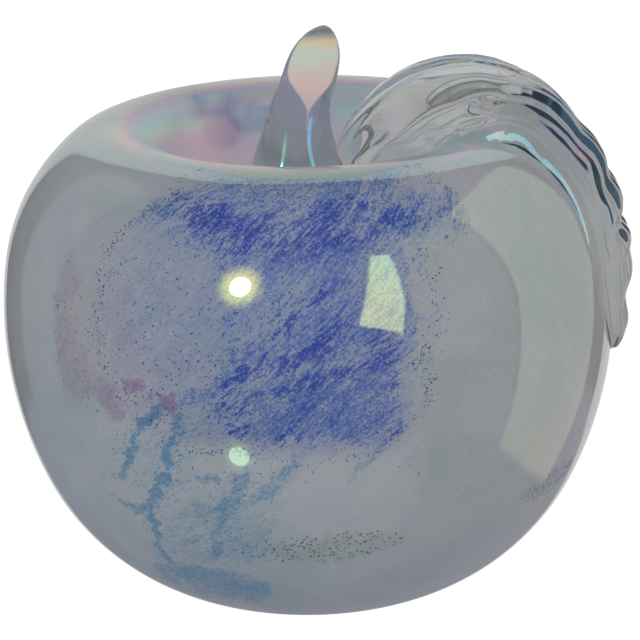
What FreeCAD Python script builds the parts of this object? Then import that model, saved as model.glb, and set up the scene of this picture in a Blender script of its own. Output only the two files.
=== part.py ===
import FreeCAD, Part
import math
import os
import Sketcher
from FreeCAD import Placement, Rotation, Vector

# Hand-blown art glass apple: an opal bubble with the air still in it, coloured glass chips
# melted onto the bubble, a clear gather cased over both, and a clear stem and a clear ribbed
# leaf put on hot. Millimetres, +Z up. The origin is the centre of the ground flat it stands
# on, +X is the side where the leaf hangs, and -Y is the front.

doc = FreeCAD.newDocument("ArtGlassApple")
sheet = doc.addObject("Spreadsheet::Sheet", "Sizes")

SIZES = [
    ("body_diameter", 120.0, "widest diameter, at the belly"),
    ("under_arc", 46.35, "radius of the wall from the base up to the belly"),
    ("belly_arc", 74.83, "radius of the wall at the belly"),
    ("shoulder_arc", 37.6, "radius of the shoulder"),
    ("crest_arc", 13.1, "radius of the rounded rim round the dimple"),
    ("base_angle", 81.3, "degrees below level that the wall faces where it meets the flat"),
    ("belly_start", 25.0, "degrees below level where the belly arc starts"),
    ("shoulder_start", 8.0, "degrees above level where the shoulder arc starts"),
    ("crest_start", 50.0, "degrees above level where the crest arc starts"),
    ("dimple_slope", 52.0, "steepest slope of the dimple's wall, in degrees"),
    ("casing_wall", 6.0, "thickness of the clear casing"),
    ("chip_depth", 0.8, "thickness of the melted colour chips"),
    ("opal_wall", 4.0, "thickness of the opal bubble"),
    ("stem_rise", 37.2, "from the floor of the dimple to the stem's tip"),
    ("stem_diameter", 11.6, "stem at its shank"),
    ("stem_lean", 5.6, "how far the tip stands over from the foot, towards the leaf"),
    ("facet_height", 17.5, "height of the slanted cut on the front of the stem"),
    ("facet_drop", 2.0, "from the stem's tip down to the top of that cut"),
    ("facet_top_depth", 1.4, "from the stem's middle plane to the top of the cut"),
    ("facet_foot_depth", 6.3, "from the stem's middle plane to the foot of the cut"),
    ("leaf_width", 42.0, "leaf across its widest place"),
    ("leaf_thickness", 7.2, "leaf at its middle ridge, above the glass it lies on"),
    ("leaf_sink", 1.5, "how far the hot leaf would reach into the body before it is cut"),
    ("leaf_arch", 15.0, "how far the leaf's root stands off the crest's own arc"),
    ("groove_depth", 2.1, "depth of the grooves pressed along the leaf"),
    ("notch_radius", 4.5, "radius of the notches crimped into the leaf's back edge"),
    ("notch_depth", 1.8, "depth of those notches"),
    ("cut_over", 5.0, "overrun of the tools that only cut"),
]
for row, (name, value, note) in enumerate(SIZES, start=1):
    sheet.set("A%d" % row, name)
    sheet.set("B%d" % row, str(value))
    sheet.set("C%d" % row, note)
    sheet.setAlias("B%d" % row, name)
doc.recompute()


def worked(text):
    """Number that an expression on the sheet gives."""
    return float(sheet.evalExpression(text))


def size(name):
    """Number in one named cell."""
    return float(sheet.get(name))


# Centres of the wall's arcs in the half plane, as (from the axis, above the floor).
# Each arc is tangent to the next, so each centre follows from the one before.
UNDER = ["(Sizes.body_diameter / 2 - Sizes.belly_arc"
         " - (Sizes.under_arc - Sizes.belly_arc) * cos(Sizes.belly_start))",
         "(Sizes.under_arc * sin(Sizes.base_angle))"]
BELLY = ["(Sizes.body_diameter / 2 - Sizes.belly_arc)",
         "(%s - (Sizes.under_arc - Sizes.belly_arc) * sin(Sizes.belly_start))" % UNDER[1]]
SHOULDER = ["(%s + (Sizes.belly_arc - Sizes.shoulder_arc) * cos(Sizes.shoulder_start))" % BELLY[0],
            "(%s + (Sizes.belly_arc - Sizes.shoulder_arc) * sin(Sizes.shoulder_start))" % BELLY[1]]
CREST = ["(%s + (Sizes.shoulder_arc - Sizes.crest_arc) * cos(Sizes.crest_start))" % SHOULDER[0],
         "(%s + (Sizes.shoulder_arc - Sizes.crest_arc) * sin(Sizes.crest_start))" % SHOULDER[1]]
# The dimple's wall is a ball scooped out on the axis, tangent to the crest.
DIMPLE_EDGE = "(%s - Sizes.crest_arc * sin(Sizes.dimple_slope))" % CREST[0]
DIMPLE_ARC = "(%s / sin(Sizes.dimple_slope))" % DIMPLE_EDGE
DIMPLE = ["0", "(%s + (Sizes.crest_arc + %s) * cos(Sizes.dimple_slope))" % (CREST[1], DIMPLE_ARC)]
DIMPLE_FLOOR = "(%s - %s)" % (DIMPLE[1], DIMPLE_ARC)
CREST_TOP = "(%s + Sizes.crest_arc)" % CREST[1]


def originPlane(body, role):
    """Origin plane of a body, found by its role."""
    return [one for one in body.Origin.OriginFeatures if one.Role == role][0]


def newSketch(body, name, role):
    """Sketch on one of its own body's origin planes."""
    sketch = body.newObject("Sketcher::SketchObject", name)
    sketch.AttachmentSupport = [(originPlane(body, role), "")]
    sketch.MapMode = "FlatFace"
    return sketch


def bind(sketch, constraint, name, text):
    """Add a dimension with a name and tie it to an expression on the sheet."""
    index = sketch.addConstraint(constraint)
    sketch.renameConstraint(index, name)
    sketch.setExpression("Constraints." + name, text)


def bindPoint(sketch, name, geometry, point, across, up):
    """Tie both coordinates of one point of a sketch to the sheet."""
    bind(sketch, Sketcher.Constraint("DistanceX", -1, 1, geometry, point, worked(across)),
         name + "_across", across)
    bind(sketch, Sketcher.Constraint("DistanceY", -1, 1, geometry, point, worked(up)),
         name + "_up", up)


def wallArc(centre, radius, start, end):
    """Arc in a sketch's plane, its ends given in degrees."""
    circle = Part.Circle(Vector(worked(centre[0]), worked(centre[1]), 0), Vector(0, 0, 1), radius)
    return Part.ArcOfCircle(circle, math.radians(start), math.radians(end))


def turnedForm(label, depth, base_angle):
    """Solid of the apple's outline moved inwards by depth, turned about the Z axis."""
    body = doc.addObject("PartDesign::Body", label)
    body.Label = label
    sketch = newSketch(body, label + "_outline", "XZ_Plane")
    arcs = [("under", UNDER, "Sizes.under_arc", "-" + base_angle, "-Sizes.belly_start"),
            ("belly", BELLY, "Sizes.belly_arc", "-Sizes.belly_start", "Sizes.shoulder_start"),
            ("shoulder", SHOULDER, "Sizes.shoulder_arc", "Sizes.shoulder_start",
             "Sizes.crest_start"),
            ("crest", CREST, "Sizes.crest_arc", "Sizes.crest_start", "90 + Sizes.dimple_slope")]

    def pointText(centre, radius, angle):
        return ["%s + (%s - %s) * cos(%s)" % (centre[0], radius, depth, angle),
                "%s + (%s - %s) * sin(%s)" % (centre[1], radius, depth, angle)]

    foot = pointText(UNDER, "Sizes.under_arc", "-" + base_angle)
    foot_across, foot_up = worked(foot[0]), worked(foot[1])
    floor = "%s - %s" % (DIMPLE_FLOOR, depth)
    scoop = "%s + %s" % (DIMPLE_ARC, depth)
    shapes = [Part.LineSegment(Vector(0, foot_up, 0), Vector(foot_across, foot_up, 0))]
    for _, centre, radius, start, end in arcs:
        shapes.append(wallArc(centre, worked(radius + " - " + depth), worked(start), worked(end)))
    shapes.append(wallArc(DIMPLE, worked(scoop), -90, worked("Sizes.dimple_slope - 90")))
    shapes.append(Part.LineSegment(Vector(0, worked(floor), 0), Vector(0, foot_up, 0)))
    sketch.addGeometry(shapes, False)
    dimple, axis = len(arcs) + 1, len(arcs) + 2

    for index in range(len(arcs)):
        sketch.addConstraint(Sketcher.Constraint("Coincident", index, 2, index + 1, 1))
    sketch.addConstraint(Sketcher.Constraint("Coincident", len(arcs), 2, dimple, 2))
    sketch.addConstraint(Sketcher.Constraint("Coincident", dimple, 1, axis, 1))
    sketch.addConstraint(Sketcher.Constraint("Coincident", axis, 2, 0, 1))
    sketch.addConstraint(Sketcher.Constraint("PointOnObject", 0, 1, -2))
    sketch.addConstraint(Sketcher.Constraint("PointOnObject", dimple, 1, -2))
    sketch.addConstraint(Sketcher.Constraint("PointOnObject", dimple, 3, -2))
    sketch.addConstraint(Sketcher.Constraint("Horizontal", 0))
    bindPoint(sketch, "foot", 0, 2, foot[0], foot[1])
    for index, (name, centre, radius, start, end) in enumerate(arcs, start=1):
        reach = radius + " - " + depth
        bind(sketch, Sketcher.Constraint("Radius", index, worked(reach)), name + "_radius", reach)
        last = pointText(centre, radius, end)
        bindPoint(sketch, name + "_end", index, 2, last[0], last[1])
    bind(sketch, Sketcher.Constraint("Radius", dimple, worked(scoop)), "dimple_radius", scoop)

    turned = body.newObject("PartDesign::Revolution", label + "_turned")
    turned.Profile = sketch
    turned.ReferenceAxis = (sketch, ["V_Axis"])
    turned.Angle = 360
    return body


outer_form = turnedForm("outer_form", "0", "Sizes.base_angle")
chip_form = turnedForm("chip_form", "(Sizes.casing_wall - Sizes.chip_depth)", "90")
colour_form = turnedForm("colour_form", "Sizes.casing_wall", "90")
air_form = turnedForm("air_form", "(Sizes.casing_wall + Sizes.opal_wall)", "90")
doc.recompute()

# The opal bubble: the first gather, blown, with its air sealed in.
opal_bubble = doc.addObject("Part::Cut", "opal_bubble")
opal_bubble.Base = colour_form
opal_bubble.Tool = air_form

# Colour chips, one row for each melted blot: degrees round from the front towards the leaf,
# height as a share of the body's height, width and height as shares of the body's diameter,
# tilt in degrees, and how ragged its edge is.
COBALT_CHIPS = [
    (1, 0.66, 0.220, 0.220, 20, 0.12),
    (4, 0.88, 0.330, 0.070, 0, 0.10),
    (31, 0.84, 0.080, 0.060, 15, 0.10),
    (-21, 0.78, 0.070, 0.110, 20, 0.12),
    (-21, 0.59, 0.070, 0.120, 15, 0.12),
    (9, 0.47, 0.100, 0.045, -10, 0.10),
    (128, 0.74, 0.190, 0.150, 25, 0.12),
    (158, 0.45, 0.120, 0.180, 15, 0.12),
]
TURQUOISE_CHIPS = [
    (-29, 0.50, 0.030, 0.120, 12, 0.08),
    (-42, 0.33, 0.120, 0.032, -12, 0.08),
    (-27, 0.24, 0.030, 0.130, 20, 0.08),
    (-14, 0.31, 0.028, 0.190, 28, 0.08),
    (-128, 0.52, 0.032, 0.170, 20, 0.08),
    (-150, 0.36, 0.110, 0.030, 10, 0.08),
]
VIOLET_CHIPS = [
    (-42, 0.62, 0.045, 0.090, 15, 0.10),
    (-36, 0.76, 0.040, 0.060, 10, 0.10),
    (24, 0.44, 0.040, 0.040, 0, 0.10),
    (-95, 0.66, 0.070, 0.100, 20, 0.10),
    (100, 0.42, 0.060, 0.080, -15, 0.10),
]
GREEN_CHIPS = [
    (2, 0.235, 0.190, 0.050, 0, 0.10),
    (62, 0.30, 0.080, 0.040, 10, 0.10),
]
BLOT_POINTS = 16
BLOT_LOBES = 3
BLOT_WAVES = 5


def blotPrism(row):
    """Column of one blot's outline, run outwards through the wall from inside it."""
    turn, height_share, width_share, tall_share, tilt, ragged_share = row
    half_width = width_share * size("body_diameter") / 2
    half_tall = tall_share * size("body_diameter") / 2
    points = []
    for step in range(BLOT_POINTS):
        angle = 2 * math.pi * step / BLOT_POINTS
        reach = (1 + ragged_share * math.cos(BLOT_LOBES * angle + turn)
                 + ragged_share / 2 * math.cos(BLOT_WAVES * angle - turn))
        points.append(Vector(half_width * reach * math.cos(angle), 0,
                             half_tall * reach * math.sin(angle)))
    curve = Part.BSplineCurve()
    curve.interpolate(Points=points, PeriodicFlag=True)
    face = Part.Face(Part.Wire([curve.toShape()]))
    reach = size("body_diameter") / 2 + size("cut_over")
    start = worked(CREST[0])
    column = face.extrude(Vector(0, start - reach, 0))
    column.Placement = Placement(Vector(0, -start, 0), Rotation(Vector(0, 1, 0), tilt))
    column = column.copy()
    lift = Placement(Vector(0, 0, height_share * worked(CREST_TOP)), Rotation())
    turned = Placement(Vector(0, 0, 0), Rotation(Vector(0, 0, 1), turn))
    column.Placement = turned.multiply(lift).multiply(column.Placement)
    return column


def chipNode(label, rows):
    """Melted chips of one colour: what the blots' columns cut out between bubble and casing."""
    columns = doc.addObject("Part::Feature", label + "_columns")
    columns.Shape = Part.makeCompound([blotPrism(row) for row in rows])
    plugs = doc.addObject("Part::MultiCommon", label + "_plugs")
    plugs.Shapes = [columns, chip_form]
    chips = doc.addObject("Part::Cut", label)
    chips.Base = plugs
    chips.Tool = colour_form
    return plugs, chips


cobalt_plugs, cobalt_chips = chipNode("cobalt_chips", COBALT_CHIPS)
turquoise_plugs, turquoise_trails = chipNode("turquoise_trails", TURQUOISE_CHIPS)
violet_plugs, violet_chips = chipNode("violet_chips", VIOLET_CHIPS)
green_plugs, green_chips = chipNode("green_chips", GREEN_CHIPS)

# The clear casing: its inside is the bubble's outside, hollowed further where chips lie.
casing_shell = doc.addObject("Part::Cut", "casing_shell")
casing_shell.Base = outer_form
casing_shell.Tool = colour_form
chip_seats = doc.addObject("Part::Compound", "chip_seats")
chip_seats.Links = [cobalt_plugs, turquoise_plugs, violet_plugs, green_plugs]
clear_casing = doc.addObject("Part::Cut", "clear_casing")
clear_casing.Base = casing_shell
clear_casing.Tool = chip_seats
doc.recompute()

# The stem's rounds from the foot up, as shares: height of the rise, sideways place of the
# lean, and diameter of the shank. The foot starts below the dimple's floor and is cut off
# there by the body.
STEM_SHARES = [
    (-0.090, -0.20, 2.85),
    (0.043, -0.23, 2.38),
    (0.150, -0.27, 1.93),
    (0.258, -0.29, 1.586),
    (0.386, -0.31, 1.276),
    (0.508, -0.23, 1.069),
    (0.613, -0.09, 1.000),
    (0.723, 0.15, 0.948),
    (0.828, 0.34, 0.879),
    (0.898, 0.45, 0.735),
    (0.950, 0.55, 0.530),
    (0.982, 0.63, 0.320),
    (1.000, 0.69, 0.110),
]


def stemBlank():
    """Stem before its foot is fitted: a loft of rounds that lean towards the leaf."""
    body = doc.addObject("PartDesign::Body", "stem_blank")
    rounds = []
    for index, (height_share, lean_share, round_share) in enumerate(STEM_SHARES):
        sketch = newSketch(body, "stem_round_%d" % index, "XY_Plane")
        radius = "Sizes.stem_diameter / 2 * %s" % round_share
        across = "Sizes.stem_lean * %s" % lean_share
        height = "%s + Sizes.stem_rise * %s" % (DIMPLE_FLOOR, height_share)
        circle = Part.Circle(Vector(worked(across), 0, 0), Vector(0, 0, 1), worked(radius))
        sketch.addGeometry(circle, False)
        bindPoint(sketch, "middle", 0, 3, across, "0")
        bind(sketch, Sketcher.Constraint("Radius", 0, worked(radius)), "radius", radius)
        sketch.setExpression(".AttachmentOffset.Base.z", height)
        rounds.append(sketch)
    loft = body.newObject("PartDesign::AdditiveLoft", "stem_loft")
    loft.Profile = rounds[0]
    loft.Sections = rounds[1:]
    loft.Ruled = False
    doc.recompute()

    # The slanted cut of the shears on the front, drawn from the side.
    sketch = newSketch(body, "shear_outline", "YZ_Plane")
    tip = "%s + Sizes.stem_rise" % DIMPLE_FLOOR
    top = "%s - Sizes.facet_drop" % tip
    foot = "%s - Sizes.facet_height" % top
    outside = "-(Sizes.stem_diameter + Sizes.cut_over)"
    corners = [("-Sizes.facet_top_depth", top), ("-Sizes.facet_foot_depth", foot),
               (outside, foot), (outside, top)]
    places = [Vector(worked(across), worked(up), 0) for across, up in corners]
    for index, place in enumerate(places):
        sketch.addGeometry(Part.LineSegment(place, places[(index + 1) % len(places)]), False)
    for index, (across, up) in enumerate(corners):
        after = (index + 1) % len(places)
        sketch.addConstraint(Sketcher.Constraint("Coincident", index, 2, after, 1))
        bindPoint(sketch, "corner_%d" % index, index, 1, across, up)
    shear = body.newObject("PartDesign::Pocket", "shear_cut")
    shear.Profile = sketch
    shear.Midplane = True
    shear.Length = worked("2 * Sizes.stem_diameter")
    shear.setExpression("Length", "2 * Sizes.stem_diameter")
    return body


stem_blank = stemBlank()
stem = doc.addObject("Part::Cut", "stem")
stem.Base = stem_blank
stem.Tool = outer_form
doc.recompute()

# The leaf's rounds from its root at the stem to its tip at the belly. Each row gives the
# degrees, up from level, that the glass under it faces, then shares: of the leaf's arch
# over the dimple, of its thickness, and of its half width to the front and to the back.
LEAF_SHARES = [
    (186, 1.00, 0.50, 0.16, 0.20),
    (173, 1.00, 0.66, 0.26, 0.28),
    (160, 0.85, 0.86, 0.40, 0.42),
    (147, 0.68, 1.00, 0.56, 0.58),
    (132, 0.54, 1.02, 0.72, 0.74),
    (117, 0.37, 1.00, 0.86, 0.88),
    (102, 0.18, 1.00, 0.92, 0.96),
    (86, 0.02, 1.00, 0.92, 1.00),
    (64, 0.00, 0.98, 0.88, 1.00),
    (47, 0.00, 0.96, 0.88, 1.00),
    (37, 0.00, 0.94, 0.92, 0.98),
    (28, 0.00, 0.90, 0.98, 0.94),
    (19, 0.00, 0.84, 1.00, 0.90),
    (10, 0.00, 0.78, 0.98, 0.86),
    (5, 0.00, 0.70, 0.90, 0.78),
    (0.5, 0.00, 0.62, 0.78, 0.68),
    (-3.5, 0.00, 0.48, 0.58, 0.50),
    (-6.5, 0.00, 0.28, 0.30, 0.26),
]
# Grooves pressed along the leaf: place across it from front to back, width, and depth.
GROOVE_SHARES = [(-0.36, 0.14, 1.0), (0.08, 0.14, 1.0), (0.72, 0.12, 0.7)]
LEAF_TOP_POINTS = 25
LEAF_UNDER_POINTS = 7
LEAF_EDGE_POWER = 3.2
LEAF_EDGE_SHARE = 0.4


def wallPlace(angle):
    """Place on the body's outside where it faces angle degrees up from level, at the leaf."""
    if angle > size("crest_start"):
        centre, radius = CREST, size("crest_arc")
    elif angle > size("shoulder_start"):
        centre, radius = SHOULDER, size("shoulder_arc")
    else:
        centre, radius = BELLY, size("belly_arc")
    turn = math.radians(angle)
    return Vector(worked(centre[0]) + radius * math.cos(turn), 0,
                  worked(centre[1]) + radius * math.sin(turn))


def leafRound(row):
    """Closed ribbed outline across the leaf at one station."""
    angle, arch_share, thick_share, front_share, back_share = row
    turn = math.radians(angle)
    outwards = Vector(math.cos(turn), 0, math.sin(turn))
    start = wallPlace(angle) + outwards * (size("leaf_arch") * arch_share)
    half = size("leaf_width") / 2
    front = half * front_share
    back = half * back_share
    thick = size("leaf_thickness") * thick_share
    bend = max(math.cos(turn), 0) / (2 * wallPlace(angle).x)

    def place(across_share, height):
        across = across_share * (back if across_share > 0 else front)
        return start + Vector(0, across, 0) + outwards * (height - bend * across * across)

    over = [place(-1, -size("leaf_sink") * LEAF_EDGE_SHARE)]
    for step in range(LEAF_TOP_POINTS):
        across_share = -math.cos(math.pi * (step + 1) / (LEAF_TOP_POINTS + 1))
        edge = (1 - abs(across_share) ** LEAF_EDGE_POWER) ** (1 / LEAF_EDGE_POWER)
        grooves = 0
        for middle_share, width_share, depth_share in GROOVE_SHARES:
            off = (across_share - middle_share) / width_share
            grooves += depth_share * math.exp(-off * off)
        depth = size("groove_depth") * grooves * thick_share
        over.append(place(across_share, (thick - depth) * edge))
    over.append(place(1, -size("leaf_sink") * LEAF_EDGE_SHARE))
    under = []
    for step in range(LEAF_UNDER_POINTS):
        turned = math.pi * step / (LEAF_UNDER_POINTS - 1)
        depth_share = LEAF_EDGE_SHARE + (1 - LEAF_EDGE_SHARE) * math.sin(turned)
        under.append(place(math.cos(turned), -size("leaf_sink") * depth_share))
    return Part.Wire([evenSpline(over), evenSpline(under)])


def evenSpline(points):
    """Curve through points that all stations number alike, so that they loft evenly."""
    spans = len(points) - 1
    curve = Part.BSplineCurve()
    curve.interpolate(Points=points, Parameters=[index / spans for index in range(spans + 1)])
    return curve.toShape()


leaf_blank = doc.addObject("Part::Feature", "leaf_blank")
leaf_blank.Shape = Part.makeLoft([leafRound(row) for row in LEAF_SHARES], True, False)

# Notches crimped into the back edge, each at the degrees that the glass under it faces, with
# the leaf's half width to the back there as a share.
NOTCH_SHARES = [(56, 1.00), (40, 0.985), (24, 0.925), (5, 0.78)]


def notchTool(index, row):
    """Round jaw of the crimping tool, standing square on the glass under the leaf."""
    angle, back_share = row
    turn = math.radians(angle)
    outwards = Vector(math.cos(turn), 0, math.sin(turn))
    across = size("leaf_width") / 2 * back_share + size("notch_radius") - size("notch_depth")
    jaw = doc.addObject("Part::Cylinder", "notch_jaw_%d" % index)
    jaw.setExpression("Radius", "Sizes.notch_radius")
    jaw.setExpression("Height", "4 * Sizes.leaf_thickness")
    start = wallPlace(angle) + Vector(0, across, 0) - outwards * (2 * size("leaf_thickness"))
    jaw.Placement = Placement(start, Rotation(Vector(0, 0, 1), outwards))
    return jaw


jaws = doc.addObject("Part::Compound", "notch_jaws")
jaws.Links = [notchTool(index, row) for index, row in enumerate(NOTCH_SHARES)]
leaf_crimped = doc.addObject("Part::Cut", "leaf_crimped")
leaf_crimped.Base = leaf_blank
leaf_crimped.Tool = jaws
leaf_over_body = doc.addObject("Part::Cut", "leaf_over_body")
leaf_over_body.Base = leaf_crimped
leaf_over_body.Tool = outer_form
leaf = doc.addObject("Part::Cut", "leaf")
leaf.Base = leaf_over_body
leaf.Tool = stem
doc.recompute()

NODES = [opal_bubble, cobalt_chips, turquoise_trails, violet_chips, green_chips, clear_casing,
         stem, leaf]
for one in doc.Objects:
    if "Invalid" in one.State or "Error" in one.State:
        raise RuntimeError("%s did not build: %s" % (one.Label, one.State))
for node in NODES:
    if node.Shape.isNull() or not node.Shape.isValid():
        raise RuntimeError("%s has no valid shape" % node.Label)

os.makedirs("parts", exist_ok=True)
for node in NODES:
    node.Shape.exportStep("parts/%s.step" % node.Label)
    box = node.Shape.optimalBoundingBox(False, False)
    print("%-18s %2d solids %9.1f mm3  x %.1f..%.1f y %.1f..%.1f z %.1f..%.1f" % (
        node.Label, len(node.Shape.Solids), node.Shape.Volume,
        box.XMin, box.XMax, box.YMin, box.YMax, box.ZMin, box.ZMax))
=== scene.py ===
import math
import bmesh
import bpy
import numpy as np
from mathutils import Matrix, Vector
from mathutils.bvhtree import BVHTree


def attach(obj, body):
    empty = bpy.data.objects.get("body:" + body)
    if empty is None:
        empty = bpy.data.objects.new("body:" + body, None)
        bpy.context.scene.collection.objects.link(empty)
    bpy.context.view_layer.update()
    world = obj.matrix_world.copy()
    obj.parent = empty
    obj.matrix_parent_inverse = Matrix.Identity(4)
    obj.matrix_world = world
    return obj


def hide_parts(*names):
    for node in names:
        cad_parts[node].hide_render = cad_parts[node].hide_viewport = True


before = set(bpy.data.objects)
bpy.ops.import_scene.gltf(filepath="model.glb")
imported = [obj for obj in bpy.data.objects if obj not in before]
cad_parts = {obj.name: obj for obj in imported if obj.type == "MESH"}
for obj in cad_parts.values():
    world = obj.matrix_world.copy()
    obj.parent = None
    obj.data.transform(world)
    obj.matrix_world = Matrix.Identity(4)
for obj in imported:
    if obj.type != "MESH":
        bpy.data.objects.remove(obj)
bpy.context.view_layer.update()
scene = bpy.context.scene
mm = 0.001
print("frame loaded:", ", ".join(sorted(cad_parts)))


# outline of the blown body, in millimetres:
# arcs from the foot to the dimple as (centre out, centre up, radius, first and last degrees)
body = {
    "arcs": [(10.97, 45.82, 46.35, -81.3, -25.0), (-14.83, 57.85, 74.83, -25.0, 8.0),
             (22.03, 63.03, 37.6, 8.0, 50.0), (37.78, 81.80, 13.1, 50.0, 142.0)],
    "dimpleUp": 111.32,      # middle of the ball that shapes the dimple
    "dimpleRadius": 34.85,
    "dimpleFrom": -38.0,     # degrees where the dimple's wall takes over from the rim
    "wall": 6.0,             # clear glass over the opal
    "skin": 5.55,            # depth of the clear shell's inside: the grains lie between it and the opal
    "turns": 420,            # steps round the axis
    "step": 0.55,            # step along the outline
}


def outline(depth, step, footDegrees=None):
    # half outline moved inwards by depth, from the foot to the floor of the dimple:
    # rows of (out, up, normal out, normal up)
    rows = []
    for index, (outAt, upAt, radius, start, end) in enumerate(body["arcs"]):
        if index == 0 and footDegrees is not None:
            start = footDegrees
        count = max(2, int(math.radians(end - start) * radius / step))
        for k in range(count):
            turn = math.radians(start + (end - start) * k / count)
            wayOut, wayUp = math.cos(turn), math.sin(turn)
            rows.append((outAt + (radius - depth) * wayOut, upAt + (radius - depth) * wayUp, wayOut, wayUp))
    reach = body["dimpleRadius"] + depth
    sweep = -90 - body["dimpleFrom"]      # down to the middle of the dimple
    count = int(math.radians(-sweep) * body["dimpleRadius"] / step)
    for k in range(count + 1):
        turn = math.radians(body["dimpleFrom"] + sweep * k / count)
        wayOut, wayUp = math.cos(turn), math.sin(turn)
        rows.append((reach * wayOut, body["dimpleUp"] + reach * wayUp, -wayOut, -wayUp))
    return np.array(rows)


outerRows = outline(0.0, 0.1)


def aboveBody(point):
    # how far a point (mm) stands off the body, and the way out of the glass there
    out = math.hypot(point[0], point[1])
    gaps = np.hypot(outerRows[:, 0] - out, outerRows[:, 1] - point[2])
    nearest = outerRows[int(gaps.argmin())]
    off = (out - nearest[0]) * nearest[2] + (point[2] - nearest[1]) * nearest[3]
    side = Vector((point[0], point[1], 0)).normalized() if out > 1e-6 else Vector((1, 0, 0))
    return off, side * nearest[2] + Vector((0, 0, nearest[3]))


def settle(point, gap):
    # a point that would be inside the body is lifted to its surface
    off, way = aboveBody(point)
    return point if off >= gap else point + way * (gap - off)


# node helpers
def sock(tree, holder, value):
    if isinstance(value, bpy.types.NodeSocket):
        tree.links.new(value, holder)
    elif value is not None:
        holder.default_value = value


def maths(tree, operation, first, second=None, third=None):
    node = tree.nodes.new("ShaderNodeMath")
    node.operation = operation
    for holder, value in zip(node.inputs, (first, second, third)):
        sock(tree, holder, value)
    return node.outputs[0]


def times(tree, first, second):
    return maths(tree, "MULTIPLY", first, second)


def plus(tree, first, second):
    return maths(tree, "ADD", first, second)


def minus(tree, first, second):
    return maths(tree, "SUBTRACT", first, second)


def vectors(tree, operation, first, second=None, scale=None):
    node = tree.nodes.new("ShaderNodeVectorMath")
    node.operation = operation
    for holder, value in zip(node.inputs, (first, second, None, scale)):
        sock(tree, holder, value)
    return node.outputs[0]


def dot(tree, first, second):
    node = tree.nodes.new("ShaderNodeVectorMath")
    node.operation = "DOT_PRODUCT"
    sock(tree, node.inputs[0], first)
    sock(tree, node.inputs[1], tuple(second))
    return node.outputs["Value"]


def ease(tree, value, fromLow, fromHigh, toLow=0.0, toHigh=1.0):
    node = tree.nodes.new("ShaderNodeMapRange")
    node.interpolation_type = "SMOOTHSTEP"
    for holder, given in zip(node.inputs, (value, fromLow, fromHigh, toLow, toHigh)):
        sock(tree, holder, given)
    return node.outputs[0]


def blendColour(tree, share, first, second):
    node = tree.nodes.new("ShaderNodeMix")
    node.data_type = "RGBA"
    sock(tree, node.inputs[0], share)
    sock(tree, node.inputs[6], first)
    sock(tree, node.inputs[7], second)
    return node.outputs[2]


def cloud(tree, place, scale, detail=2.0, rough=0.5, distortion=0.0, what=0):
    # noise, as a number or with what=1 as a colour
    node = tree.nodes.new("ShaderNodeTexNoise")
    sock(tree, node.inputs["Vector"], place)
    node.inputs["Scale"].default_value = scale
    node.inputs["Detail"].default_value = detail
    node.inputs["Roughness"].default_value = rough
    node.inputs["Distortion"].default_value = distortion
    return node.outputs[what]


def swing(tree, noise, amount):
    # noise about its middle, times an amount
    return times(tree, minus(tree, noise, 0.5), amount)


def pull(tree, place, scale, detail, rough, amount):
    # a push to any side by noise, up to half the amount
    noise = cloud(tree, place, scale, detail, rough, 0.0, 1)
    return vectors(tree, "SCALE", vectors(tree, "SUBTRACT", noise, (0.5, 0.5, 0.5)), None, amount)


def spread(tree, value, stops):
    node = tree.nodes.new("ShaderNodeValToRGB")
    ramp = node.color_ramp
    while len(ramp.elements) < len(stops):
        ramp.elements.new(0.5)
    for element, (place, colour) in zip(ramp.elements, stops):
        element.position = place
        element.color = colour
    sock(tree, node.inputs[0], value)
    return node.outputs[0]


def split(tree, place):
    node = tree.nodes.new("ShaderNodeSeparateXYZ")
    sock(tree, node.inputs[0], place)
    return node.outputs[0], node.outputs[1], node.outputs[2]


def join(tree, across, along, up):
    node = tree.nodes.new("ShaderNodeCombineXYZ")
    for holder, value in zip(node.inputs, (across, along, up)):
        sock(tree, holder, value)
    return node.outputs[0]


def smooth(share):
    # 0 to 1 with a soft start and end, as a node's smooth step
    share = min(max(share, 0.0), 1.0)
    return share * share * (3 - 2 * share)


def distance(tree, first, second):
    return maths(tree, "SQRT", plus(tree, times(tree, first, first), times(tree, second, second)))


def mixShaders(tree, share, first, second):
    node = tree.nodes.new("ShaderNodeMixShader")
    for holder, value in zip(node.inputs, (share, first, second)):
        sock(tree, holder, value)
    return node.outputs[0]


def matt(tree, colour, roughness):
    # paint with no shine of its own
    paint = tree.nodes.new("ShaderNodeBsdfPrincipled")
    sock(tree, paint.inputs["Base Color"], colour)
    paint.inputs["Roughness"].default_value = roughness
    paint.inputs["Specular IOR Level"].default_value = 0.0
    return paint


def bothSides(tree, colour):
    # colour that light reaches from the front and from behind alike
    front = tree.nodes.new("ShaderNodeBsdfDiffuse")
    back = tree.nodes.new("ShaderNodeBsdfTranslucent")
    for holder in (front, back):
        sock(tree, holder.inputs["Color"], colour)
    return mixShaders(tree, 0.5, front.outputs[0], back.outputs[0])


def newMaterial(name):
    material = bpy.data.materials.new(name)
    material.use_nodes = True
    material.node_tree.nodes.clear()
    return material, material.node_tree


def finishMaterial(tree, shader):
    output = tree.nodes.new("ShaderNodeOutputMaterial")
    tree.links.new(shader, output.inputs["Surface"])


# camera, at the photograph's place
cameraView = {
    "target": (0.0, 0.0, 0.050),
    "distance": 0.800,
    "elevation": 16.83,
    "roll": -1.04,
    "lens": 227.34,
    "shift": (0.01697, 0.03302),
}


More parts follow.
